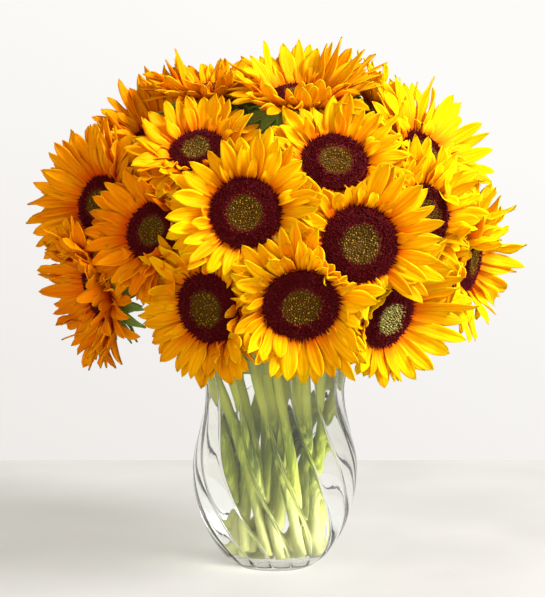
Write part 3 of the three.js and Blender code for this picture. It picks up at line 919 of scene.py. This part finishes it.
def model_stem(route, radius, draw):
    """A round stem bent along a route: a curve with a round section, made a mesh with closed ends."""
    deselect()
    bpy.ops.curve.primitive_bezier_curve_add(location=(0, 0, 0))
    stem = bpy.context.object
    curve = stem.data
    curve.splines.clear()
    spline = curve.splines.new("POLY")
    spline.points.add(len(route) - 1)
    count = len(route)
    for i, place in enumerate(route):
        spline.points[i].co = (*place, 1)
        swell = 1 + 0.05 * math.sin(i * 1.9 + draw.uniform(0, 1)) - 0.16 * max(0, 1 - 3 * i / count)
        spline.points[i].radius = swell
    spline.use_smooth = True
    curve.dimensions = "3D"
    curve.bevel_depth = radius
    curve.bevel_resolution = STEM_SIDES // 4
    curve.use_fill_caps = True
    bpy.ops.object.convert(target="MESH")
    stem = bpy.context.object
    edit(stem)
    bpy.ops.mesh.select_all(action="SELECT")
    bpy.ops.mesh.remove_doubles(threshold=0.02 * MM)
    finish_edit()
    low = points_of(stem.data)
    floor = bpy.context.scene.sunflower_vase.base + 0.3 * MM
    low[:, 2] = np.maximum(low[:, 2], floor)
    move_points(stem.data, low)
    mark(stem.data, "leafy", 0.0)
    mark(stem.data, "tint", draw.random())
    return stem


def model_cup(head):
    """The green cup behind a head, turned from rings that follow the solid cup."""
    rings = [(part * head.radius, height * MM) for part, height in CUP_RINGS]
    cup = turn_body("cup", rings, CUP_SIDES)
    cup.data.transform(head.frame)
    mark(cup.data, "leafy", 1.0)
    mark(cup.data, "tint", 0.5)
    fill_uv(cup, 0.5, 0.2)
    return cup


def bract_outline(along):
    """Half the width of a bract at a place along it, which is widest at a third."""
    rise = 0.62 + 0.38 * math.sin(min(along / 0.35, 1) * math.pi / 2)
    fall = 1 if along < 0.3 else max(0.0, 1 - ((along - 0.3) / 0.7) ** 1.25)
    return 0.5 * rise * fall


def model_greens(settings):
    """The stems of each node with their cups and bracts, fused as one piece a node."""
    def one_rib(x):
        return math.exp(-((x / 0.18) ** 2))

    pattern = model_blade("bract", 6, 8, bract_outline, 0.05, one_rib, 0.05)
    material = green_material(settings)
    heads = read_heads()
    number = 0
    for group, count in enumerate(STEMS_IN_NODE):
        node = f"stems_{group + 1}"
        points, faces = shared_points(node)
        parts = []
        for member in range(count):
            number += 1
            head = heads[number - 1]
            draw = random.Random(number * 13 + 5)
            stem = model_stem(stem_route(group, member, head), settings.stem_radius, draw)
            fill_uv(stem, 0.5, 0.5)
            parts += [stem, model_cup(head)]

            def is_cup(p):
                reach = np.hypot(p[:, 0], p[:, 1])
                return (reach < head.radius + PAD_RIM) & (p[:, 2] < CUP_TOP) & (p[:, 2] > CUP_BOTTOM)

            grown = [
                line for line in blades(head.local(points), faces, is_cup)
                if np.hypot(*line["root"][:2]) < head.radius + CUP_NEARBY and abs(line["root"][2]) < CUP_DEPTH
            ]
            grown = with_fillers(grown, 1, -0.08)
            for i in range(settings.low_bracts):
                line = free_line(
                    head.radius * 0.86, i * 360 / settings.low_bracts + draw.uniform(-15, 15),
                    settings.low_length * draw.uniform(0.75, 1.25),
                    draw.uniform(-62, -28), draw.uniform(-10, 40),
                )
                for key in ("root", "middle", "tip"):
                    line[key] = line[key] + (0, 0, LOW_BRACTS_AT)
                grown.append(line)
            for line in grown:
                copy = copied(pattern, "bract")
                shape = {
                    "outline": bract_outline,
                    "curl": 0.14 * draw.uniform(-1, 0.6),
                    "sway": 0.06 * draw.uniform(-1, 1),
                    "roll": 0.2 * draw.uniform(-1, 1),
                    "twist": 0.5 * draw.gauss(0, 0.6),
                    "cup": 0.16 * draw.uniform(0.4, 1.6),
                    "fold": 0.1,
                    "ruffle": 0.05,
                    "waves": draw.uniform(0.8, 1.8),
                    "phase": draw.uniform(0, math.tau),
                }
                line = fitted(head, line, heads, settings.bract_reach)
                bend_blade(copy, line, settings.bract_width * draw.uniform(0.85, 1.15), shape)
                copy.data.transform(head.frame)
                mark(copy.data, "leafy", 1.0)
                mark(copy.data, "tint", draw.random())
                parts.append(copy)
        whole = joined(parts, node + "_greens")
        dressed(whole, material, "green", node)
    bpy.data.objects.remove(pattern)


# ---- The vase and its water ----

GLASS_SIDES = 384
FOOT_BEVEL = 1.2 * MM
RIB_FADE = 14 * MM  # the ribs fade out over this height below the lip
RIB_START = 4 * MM  # and begin at this height above the foot
BOWL_RISE = 7 * MM  # how far the rounded floor inside reaches up the side
BOWL_ROUND = 0.55  # 1 would make its section an ellipse, and less makes it squarer


def glass_radius(height):
    """Outer radius of the glass without its ribs: an ellipse up to the belly, waves above it."""
    vase = bpy.context.scene.sunflower_vase

    def wave(low, high, low_radius, high_radius):
        part = (1 - math.cos(math.pi * (height - low) / (high - low))) / 2
        return low_radius + (high_radius - low_radius) * part

    if height > vase.neck_height:
        return wave(vase.neck_height, vase.height, vase.neck, vase.lip)
    if height > vase.belly_height:
        return wave(vase.belly_height, vase.neck_height, vase.belly, vase.neck)
    depth = vase.belly_height / math.sqrt(1 - (vase.foot / vase.belly) ** 2)
    return vase.belly * math.sqrt(1 - ((vase.belly_height - height) / depth) ** 2)


def bowl(edge, bottom, angles):
    """The rounded floor inside the glass, ring by ring, from the (radius, height) of its edge."""
    radius, height = edge
    return [
        (radius * math.cos(a) ** BOWL_ROUND, bottom + (height - bottom) * (1 - math.sin(a))) for a in angles
    ]


def model_vase(settings):
    """The glass: turned round its axis, then pressed into spiral ribs on the outside."""
    top = settings.height
    rise = np.linspace(0, 1, 64)
    outside = [(settings.foot - FOOT_BEVEL, 0.0), (settings.foot, FOOT_BEVEL)]
    outside += [(glass_radius(h), h) for h in FOOT_BEVEL * 2 + (top - FOOT_BEVEL * 3) * rise ** 1.35]
    rim = settings.wall / 2
    lip = [
        (glass_radius(top) - rim * (1 - math.cos(a)), top - rim + rim * math.sin(a))
        for a in (0.6, 1.57, 2.54)
    ]
    inside = [
        (glass_radius(h) - settings.wall, h)
        for h in (top - rim) + (settings.base + BOWL_RISE - top + rim) * np.linspace(0, 1, 44)
    ]
    inside += bowl(inside[-1], settings.base, np.linspace(0.25, 1.5, 8))
    vase = turn_body("glass_vase", outside + lip + inside, GLASS_SIDES)
    points = points_of(vase.data)
    reach = np.hypot(points[:, 0], points[:, 1])
    height = points[:, 2]
    outer = np.array([glass_radius(h) for h in height])
    is_outside = reach > outer - settings.wall * 0.4
    fade = smoothstep(RIB_START, RIB_START * 2, height)
    fade = fade * (1 - smoothstep(top - RIB_FADE, top, height))
    around = np.arctan2(points[:, 1], points[:, 0])
    lobe = np.abs(np.cos(around * settings.ribs / 2)) ** 0.3 * 2 - 1
    reach = reach + settings.rib_depth * lobe * fade * is_outside
    around += settings.rib_twist * (1 - height / top) ** settings.rib_gather
    points[:, 0] = reach * np.cos(around)
    points[:, 1] = reach * np.sin(around)
    move_points(vase.data, points)
    glass = clear_material("Clear pressed glass", settings.glass, GLASS_IOR, 0.1)
    return dressed(vase, glass, "glass", "vase")


def model_water(settings):
    """The water: it wets the glass, and creeps up it in a thin edge."""
    wetted = 0.15 * MM
    level = settings.water_level
    bottom = settings.base - wetted
    side = [
        (glass_radius(h) - settings.wall + wetted, h)
        for h in (settings.base + BOWL_RISE) + (level - settings.base - BOWL_RISE) * np.linspace(0, 1, 40)
    ]
    under = bowl(side[0], bottom, np.linspace(1.5, 0.25, 8))
    edge_radius = side[-1][0]
    creep = [(edge_radius, level + 0.5 * MM), (edge_radius - 0.3 * MM, level + 0.3 * MM)]
    top = [(edge_radius - 1.2 * MM, level + 0.1 * MM), (edge_radius - 3 * MM, level), (4 * MM, level)]
    water = turn_body("water_fill", under + side + creep + top, GLASS_SIDES)
    return dressed(water, clear_material("Vase water", settings.water, WATER_IOR, 0.02), "water", "water")


# ---- Materials ----

GLASS_IOR = 1.40  # less than real glass, which has about 1.5
WATER_IOR = 1.26  # less than real water, which has 1.33
SEED_STEP = 37.0  # how far apart the patterns of two blades lie
PATCH_SCALE = (0.12, 1.0, 1.0)  # patches are broader than fibres, and as long
RIDGE_SCALE = (420, 420, 14)  # ridges are narrow round a stem, and drawn out along it


class Shading:
    """The nodes of a material, a group or a world, added and linked by short calls."""

    def __init__(self, name=None, tree=None):
        if tree is None:
            self.material = bpy.data.materials.new(name)
            self.material.use_nodes = True
            tree = self.material.node_tree
            tree.nodes.clear()
        self.tree = tree

    def fill(self, socket, value):
        """Links a socket to another one, or sets its number or colour."""
        if isinstance(value, bpy.types.NodeSocket):
            self.tree.links.new(value, socket)
        elif hasattr(value, "__len__"):
            values = tuple(value)
            socket.default_value = values + (1.0,) * (len(socket.default_value) - len(values))
        elif value is not None:
            socket.default_value = value

    def add(self, kind, inputs=None, **values):
        """A new node with its properties set and some of its inputs filled."""
        node = self.tree.nodes.new(kind)
        for key, value in values.items():
            setattr(node, key, value)
        for key, value in (inputs or {}).items():
            self.fill(node.inputs[key], value)
        return node

    def number(self, name):
        """A number that the mesh holds at its points."""
        return self.add("ShaderNodeAttribute", attribute_name=name).outputs["Fac"]

    def object_place(self):
        return self.add("ShaderNodeTexCoord").outputs["Object"]

    def parts(self, vector):
        return self.add("ShaderNodeSeparateXYZ", {0: vector}).outputs

    def math(self, operation, first, second=None):
        return self.add("ShaderNodeMath", {0: first, 1: second}, operation=operation).outputs[0]

    def times(self, first, second):
        return self.math("MULTIPLY", first, second)

    def off(self, value, centre):
        """How far a number is from a centre."""
        return self.math("ABSOLUTE", self.math("SUBTRACT", value, centre))

    def span(self, value, low, high, to_low=0.0, to_high=1.0):
        """A smooth step between two numbers as a value goes from low to high."""
        inputs = {"Value": value, "From Min": low, "From Max": high, "To Min": to_low, "To Max": to_high}
        return self.add("ShaderNodeMapRange", inputs, interpolation_type="SMOOTHSTEP").outputs["Result"]

    def blend(self, factor, first, second, mode="MIX"):
        inputs = {"Factor": factor, "A": first, "B": second}
        return self.add("ShaderNodeMix", inputs, data_type="RGBA", blend_type=mode).outputs["Result"]

    def noise(self, vector, scale=1.0, detail=2.0):
        inputs = {"Vector": vector, "Scale": scale, "Detail": detail}
        return self.add("ShaderNodeTexNoise", inputs).outputs["Fac"]

    def bump(self, height, strength, distance):
        inputs = {"Height": height, "Strength": strength, "Distance": distance}
        return self.add("ShaderNodeBump", inputs).outputs[0]

    def principled(self, **values):
        inputs = {key.replace("_", " "): value for key, value in values.items()}
        return self.add("ShaderNodeBsdfPrincipled", inputs)

    def mixed(self, factor, first, second):
        inputs = {0: factor, 1: first.outputs[0], 2: second.outputs[0]}
        return self.add("ShaderNodeMixShader", inputs)

    def show(self, shader):
        self.add("ShaderNodeOutputMaterial", {"Surface": shader.outputs[0]})
        return self.material


def fibres_group():
    """Lengthwise fibres on a blade, as fine lines that follow its own map, and slow patches."""
    name = "Lengthwise fibres"
    if name in bpy.data.node_groups:
        return bpy.data.node_groups[name]
    group = bpy.data.node_groups.new(name, "ShaderNodeTree")
    group.interface.new_socket("Vector", in_out="INPUT", socket_type="NodeSocketVector")
    for label in ("Across", "Along", "Seed"):
        group.interface.new_socket(label, in_out="INPUT", socket_type="NodeSocketFloat")
    for label in ("Fibre", "Mottle"):
        group.interface.new_socket(label, in_out="OUTPUT", socket_type="NodeSocketFloat")
    shading = Shading(tree=group)
    given = shading.add("NodeGroupInput").outputs
    place = shading.parts(given["Vector"])
    drawn_out = {
        "X": shading.times(place["X"], given["Across"]),
        "Y": shading.times(place["Y"], given["Along"]),
        "Z": shading.times(given["Seed"], SEED_STEP),
    }
    fine = shading.add("ShaderNodeCombineXYZ", drawn_out).outputs[0]
    broad = shading.add("ShaderNodeVectorMath", {0: fine, 1: PATCH_SCALE}, operation="MULTIPLY").outputs[0]
    shading.add("NodeGroupOutput", {"Fibre": shading.noise(fine), "Mottle": shading.noise(broad)})
    return group


def blade_pattern(shading, seed, lines_across, lines_along):
    """Where a point lies across and along its blade, from 0 to 1, and the blade's fibres and patches."""
    uv = shading.add("ShaderNodeUVMap", uv_map="blade").outputs["UV"]
    place = shading.parts(uv)
    inputs = {"Vector": uv, "Across": lines_across, "Along": lines_along, "Seed": seed}
    streaks = shading.add("ShaderNodeGroup", inputs, node_tree=fibres_group()).outputs
    return place["X"], place["Y"], streaks["Fibre"], streaks["Mottle"]


def petal_material(settings):
    """Golden petals that glow through: red-orange roots, grooves darkened with painted shade, fibres, bright
    thin edges, and painted shade on the heads away from the key light.
    """
    shading = Shading("Golden petal")
    tint = shading.number("tint")
    across, along, fibre, mottle = blade_pattern(shading, tint, 26.0, 1.6)
    uneven = shading.math("ADD", along, shading.times(shading.math("SUBTRACT", fibre, 0.5), 0.3))
    base = shading.blend(shading.span(uneven, 0.03, 0.5), settings.root, settings.body)
    petal = shading.blend(shading.span(uneven, 0.3, 0.95), base, settings.tip)
    from_middle = shading.off(across, 0.5)
    # Painted shade in the two lengthwise grooves, strongest towards the root. The darker fibres and warm
    # patches are the petal's own tone.
    groove_shade_mask = shading.span(shading.off(from_middle, 1 / 6), 0.05, 0.0)
    groove = shading.times(groove_shade_mask, shading.span(along, 1.0, 0.4, 0.1, 0.65))
    dark_fibres = shading.span(fibre, 0.58, 0.36, 0.0, 0.6)
    warm_patches = shading.span(mottle, 0.5, 0.8, 0.0, 0.4)
    for mask in (groove, dark_fibres, warm_patches):
        petal = shading.blend(mask, petal, settings.line)
    edge = shading.times(shading.span(from_middle, 0.4, 0.5), shading.span(along, 0.12, 0.4))
    varied = {
        "Color": shading.blend(shading.times(edge, 0.75), petal, settings.edge),
        "Hue": shading.span(tint, 0.0, 1.0, 0.486, 0.508),
        "Value": shading.span(tint, 0.0, 1.0, 0.94, 1.03),
    }
    petal = shading.add("ShaderNodeHueSaturation", varied).outputs[0]
    # Painted shade: heads away from the key light are multiplied towards deep orange.
    petal = shading.blend(shading.number("deeper"), petal, settings.deep, "MULTIPLY")
    bump = shading.bump(fibre, 0.5, 0.4 * MM)
    shader = shading.principled(Base_Color=petal, Normal=bump, Roughness=0.6, Specular_IOR_Level=0.04)
    through = shading.add("ShaderNodeBsdfTranslucent", {"Color": petal, "Normal": bump})
    return shading.show(shading.mixed(settings.glow, shader, through))


def disc_material(settings):
    """Maroon florets with pink specks round an olive eye."""
    shading = Shading("Disc florets")
    reach, height, tint, fresh = (shading.number(name) for name in ("reach", "height", "tint", "fresh"))
    uneven = shading.math("ADD", reach, shading.times(shading.math("SUBTRACT", tint, 0.5), 0.1))
    outer = shading.span(uneven, settings.spread - 0.04, settings.spread + 0.06)
    tip = shading.span(height, 0.75, 1.15)
    specks = shading.times(shading.times(tip, shading.span(tint, 0.55, 0.95)), 0.7)
    maroon = shading.blend(specks, settings.maroon, settings.speck)
    tips = shading.blend(fresh, settings.eye_light, settings.fresh)
    buds = shading.blend(shading.times(fresh, 0.3), settings.eye, settings.fresh)
    eye = shading.blend(shading.times(tip, shading.span(tint, 0.45, 0.95)), buds, tips)
    deep = shading.blend(shading.span(height, 0.1, 0.8), settings.gaps, eye)
    whole = shading.blend(outer, deep, maroon)
    return shading.show(shading.principled(Base_Color=whole, Roughness=0.75, Specular_IOR_Level=0.08))


def green_material(settings):
    """Ridged stems with pale streaks and paler feet, painted shade on some stems and painted light higher up,
    and darker veined cups and bracts.
    """
    shading = Shading("Stem and leaf green")
    tint = shading.number("tint")
    across, _, fibre, _ = blade_pattern(shading, tint, 18.0, 3.0)
    place = shading.object_place()
    upright = shading.add("ShaderNodeMapping", {"Vector": place, "Scale": RIDGE_SCALE}).outputs[0]
    ridges = shading.noise(upright, detail=3.0)
    height = shading.parts(place)["Z"]
    low = shading.span(height, 0.10, 0.02, 0.0, 0.75)
    # Painted light: the stems are paler higher up, where the heads above shade them.
    high = shading.span(height, 0.11, 0.15, 0.0, 0.9)
    # Painted shade: some stems, chosen by their tint, take the darker shade colour.
    own = shading.blend(shading.span(tint, 0.45, 0.6), settings.stem, settings.stem_shade)
    pale = shading.math("MAXIMUM", shading.span(ridges, 0.4, 0.7, 0.0, 0.8), high)
    stem = shading.blend(low, shading.blend(pale, own, settings.stem_streak_and_light), settings.stem_foot)
    from_middle = shading.off(across, 0.5)
    rim = shading.times(shading.span(from_middle, 0.42, 0.5), 0.6)
    vein = shading.math("MAXIMUM", shading.span(from_middle, 0.05, 0.0), rim)
    soft = shading.math("MAXIMUM", vein, shading.span(fibre, 0.5, 0.8, 0.0, 0.6))
    leaf = shading.blend(soft, settings.leaf, settings.leaf_light)
    whole = shading.blend(shading.number("leafy"), stem, leaf)
    bump = shading.bump(ridges, 0.35, 0.4 * MM)
    shader = shading.principled(Base_Color=whole, Normal=bump, Roughness=0.5, Specular_IOR_Level=0.35)
    return shading.show(shader)


def clear_material(name, tint, ior, waviness):
    """Clear glass or water that lamps shine through, with slow waves in its surface."""
    shading = Shading(name)
    bump = shading.bump(shading.noise(shading.object_place(), 60.0), waviness, 1 * MM)
    shader = shading.principled(
        Transmission_Weight=1.0, Roughness=0.0, IOR=ior, Base_Color=tint, Normal=bump
    )
    through = shading.add("ShaderNodeBsdfTransparent", {"Color": tuple(c ** 2 for c in tint)})
    shadow = shading.add("ShaderNodeLightPath").outputs["Is Shadow Ray"]
    return shading.show(shading.mixed(shadow, shader, through))


# ---- The stage ----

FLOOR_REACH = 3.0  # how far the floor reaches from the vase at its sides and in front


def aim(thing, target):
    """Turns a camera or a light to look at a point."""
    way = Vector(target) - thing.location
    thing.rotation_euler = way.to_track_quat("-Z", "Y").to_euler()


def add_light(name, place, target, size, power, tint, mirrored=True):
    """A soft rectangular light; one that isn't mirrored leaves no reflection in the glass."""
    bpy.ops.object.light_add(type="AREA", location=place)
    light = bpy.context.object
    light.name = name
    light.data.shape = "RECTANGLE"
    light.data.size, light.data.size_y = size
    light.data.energy = power
    light.data.color = tint
    aim(light, target)
    light.visible_glossy = light.visible_transmission = mirrored
    return light


def set_floor(settings):
    """The pale floor, which ends behind the vase, and which glows a little: painted light that lifts and
    warms its shadows.
    """
    deselect()
    depth = FLOOR_REACH + settings.floor_edge
    bpy.ops.mesh.primitive_plane_add(size=1, location=(0, settings.floor_edge - depth / 2, 0))
    bpy.ops.transform.resize(value=(2 * FLOOR_REACH, depth, 1))
    floor = started("pale_floor")
    shading = Shading("Pale floor")
    grain = shading.span(shading.noise(shading.object_place(), 6.0), 0.3, 0.7, 0.0, 0.06)
    shader = shading.principled(
        Base_Color=shading.blend(grain, settings.floor, settings.wall), Roughness=0.6, Specular_IOR_Level=0.2,
        # The floor glows: painted light that evens out and warms its shadows.
        Emission_Color=settings.floor_glow_colour, Emission_Strength=settings.floor_glow,
    )
    floor.data.materials.append(shading.show(shader))


def set_room(settings):
    """The soft light of a bright room, whose wall is darker at the left and low down."""
    world = bpy.data.worlds.new("Bright room")
    bpy.context.scene.world = world
    world.use_nodes = True
    world.node_tree.nodes.clear()
    room = Shading(tree=world.node_tree)
    way = room.parts(room.add("ShaderNodeTexCoord").outputs["Generated"])
    sideways = room.span(way["X"], -0.2, 0.2, 0.08, 0.5)
    lit = room.math("ADD", sideways, room.span(way["Z"], -0.22, 0.1, 0.0, 0.8))
    diffuse = room.add("ShaderNodeLightPath").outputs["Is Diffuse Ray"]
    background = {
        "Color": room.blend(lit, settings.wall_shade, settings.wall),
        "Strength": room.span(diffuse, 0.0, 1.0, 1.0, settings.ambient),
    }
    surface = room.add("ShaderNodeBackground", background).outputs[0]
    room.add("ShaderNodeOutputWorld", {"Surface": surface})


def set_stage(settings):
    """The floor, the room, a large light at the right, a low one in front, and the camera."""
    set_floor(settings)
    set_room(settings)
    scene = bpy.context.scene
    scene.view_settings.view_transform = "Standard"
    scene.view_settings.look = "None"
    cool, white = (0.99, 0.985, 1.0), (1, 1, 1)
    add_light("key_light", (1.9, -1.1, 2.0), (0, 0, 0.24), (1.2, 1.2), settings.key_power, cool)
    add_light("fill_light", (-0.5, -1.9, 0.3), (0, 0, 0.12), (1.2, 0.5), settings.fill_power, white, False)
    bpy.ops.object.camera_add(location=(settings.side, -settings.camera_distance, settings.camera_height))
    camera = bpy.context.object
    camera.name = "photo_camera"
    camera.data.lens = settings.lens
    camera.data.clip_start = 0.05
    aim(camera, (settings.side, 0, settings.aim_height))
    scene.camera = camera


# ---- Operators ----


class SUNFLOWER_OT_vase(bpy.types.Operator):
    """Model the ribbed glass vase"""

    bl_idname = "sunflower.vase"
    bl_label = "Glass Vase"

    def execute(self, context):
        model_vase(context.scene.sunflower_vase)
        return {"FINISHED"}


class SUNFLOWER_OT_water(bpy.types.Operator):
    """Fill the vase with water"""

    bl_idname = "sunflower.water"
    bl_label = "Water"

    def execute(self, context):
        model_water(context.scene.sunflower_vase)
        return {"FINISHED"}


class SUNFLOWER_OT_greens(bpy.types.Operator):
    """Model the stems with their cups and bracts"""

    bl_idname = "sunflower.greens"
    bl_label = "Stems, Cups and Bracts"

    def execute(self, context):
        model_greens(context.scene.sunflower_greens)
        return {"FINISHED"}


class SUNFLOWER_OT_discs(bpy.types.Operator):
    """Model the discs of florets"""

    bl_idname = "sunflower.discs"
    bl_label = "Discs of Florets"

    def execute(self, context):
        model_discs(context.scene.sunflower_discs)
        return {"FINISHED"}


class SUNFLOWER_OT_petals(bpy.types.Operator):
    """Model the ray petals of every head"""

    bl_idname = "sunflower.petals"
    bl_label = "Ray Petals"

    def execute(self, context):
        model_petals(context.scene.sunflower_petals)
        return {"FINISHED"}


class SUNFLOWER_OT_stage(bpy.types.Operator):
    """Set up the pale floor, the soft light and the camera"""

    bl_idname = "sunflower.stage"
    bl_label = "Stage"

    def execute(self, context):
        set_stage(context.scene.sunflower_stage)
        return {"FINISHED"}


OPERATORS = (
    SUNFLOWER_OT_stage,
    SUNFLOWER_OT_vase,
    SUNFLOWER_OT_water,
    SUNFLOWER_OT_greens,
    SUNFLOWER_OT_discs,
    SUNFLOWER_OT_petals,
)


class SUNFLOWER_PT_panel(bpy.types.Panel):
    """Lists the steps that build the bunch"""

    bl_label = "Sunflowers"
    bl_idname = "SUNFLOWER_PT_panel"
    bl_space_type = "VIEW_3D"
    bl_region_type = "UI"
    bl_category = "Sunflowers"

    def draw(self, context):
        for operator in OPERATORS:
            self.layout.operator(operator.bl_idname)


SETTINGS = {
    "sunflower_petals": PetalSettings,
    "sunflower_discs": DiscSettings,
    "sunflower_greens": GreenSettings,
    "sunflower_vase": VaseSettings,
    "sunflower_stage": StageSettings,
}


def register():
    for name, settings in SETTINGS.items():
        bpy.utils.register_class(settings)
        setattr(bpy.types.Scene, name, PointerProperty(type=settings))
    for operator in OPERATORS:
        bpy.utils.register_class(operator)
    bpy.utils.register_class(SUNFLOWER_PT_panel)


def unregister():
    bpy.utils.unregister_class(SUNFLOWER_PT_panel)
    for operator in reversed(OPERATORS):
        bpy.utils.unregister_class(operator)
    for name, settings in SETTINGS.items():
        delattr(bpy.types.Scene, name)
        bpy.utils.unregister_class(settings)


def main():
    register()
    for operator in OPERATORS:
        family, step = operator.bl_idname.split(".")
        getattr(getattr(bpy.ops, family), step)()


if __name__ == "__main__":
    main()
